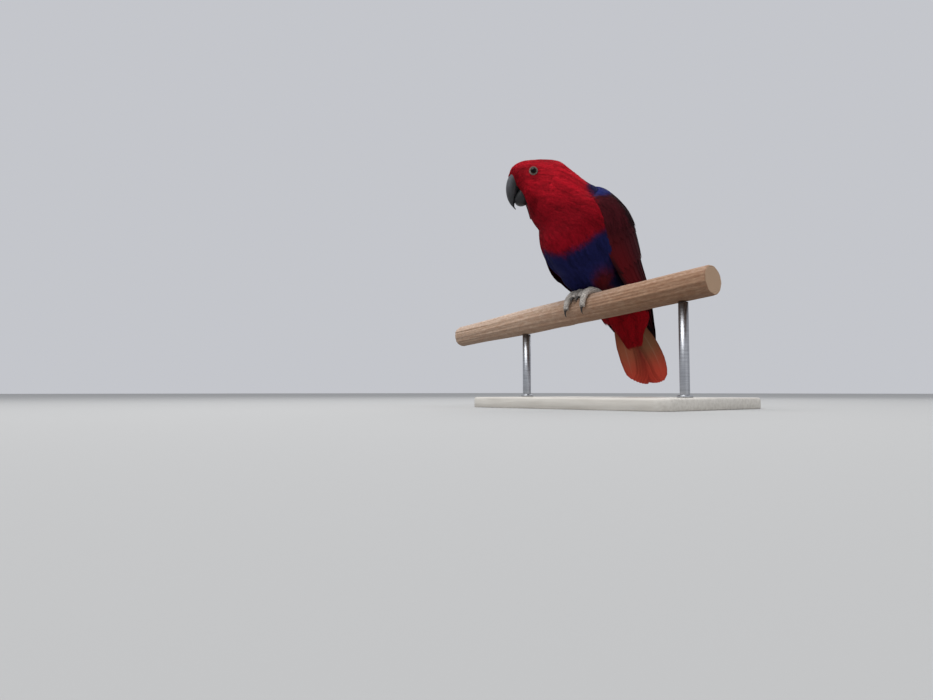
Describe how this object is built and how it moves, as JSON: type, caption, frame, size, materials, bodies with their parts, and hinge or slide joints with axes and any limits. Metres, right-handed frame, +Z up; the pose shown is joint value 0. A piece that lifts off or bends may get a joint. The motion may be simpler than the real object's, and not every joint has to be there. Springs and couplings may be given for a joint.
{
  "type": "eclectus parrot display model",
  "caption": "Life-size still model of a red female eclectus parrot that grips a short cut perch on a plain display stand.",
  "frame": {"origin": "centre of the underside of the stand's base", "axes": "+Z up, the bird's breast faces -Y, its left side is +X, and the perch runs along X"},
  "size_m": [0.3811, 0.1904, 0.2863],
  "materials": {
    "plumage_red": "soft crimson feathers",
    "plumage_blue": "soft deep blue feathers",
    "plumage_wing": "smooth dark maroon feathers",
    "plumage_tail": "orange-brown tail feathers with red tips",
    "bill": "black horn with a soft sheen",
    "claw": "dark horn",
    "eye": "glossy dark eye with a pale iris",
    "eyelid": "bare grey skin round the eye",
    "foot_skin": "pale grey scaly skin",
    "perch_wood": "debarked branch, dry and worn",
    "stand_base": "plain pale painted board",
    "stand_steel": "satin steel rod"
  },
  "bodies": {
    "root": {"bill_lower": "bill", "bill_upper": "bill", "claw_left_back_inner": "claw", "claw_left_back_outer": "claw", "claw_left_front_inner": "claw", "claw_left_front_outer": "claw", "claw_right_back_inner": "claw", "claw_right_back_outer": "claw", "claw_right_front_inner": "claw", "claw_right_front_outer": "claw", "eye_left": "eye", "eye_right": "eye", "eyelid_left": "eyelid", "eyelid_right": "eyelid", "foot_left": "foot_skin", "foot_right": "foot_skin", "head": "plumage_red", "neck": "plumage_red", "perch": "perch_wood", "stand_base": "stand_base", "stand_rod_1": "stand_steel", "stand_rod_2": "stand_steel", "tail": "plumage_tail", "thigh_left": "plumage_wing", "thigh_right": "plumage_wing", "torso": "plumage_blue", "wing_left": "plumage_wing", "wing_right": "plumage_wing"}
  },
  "joints": []
}
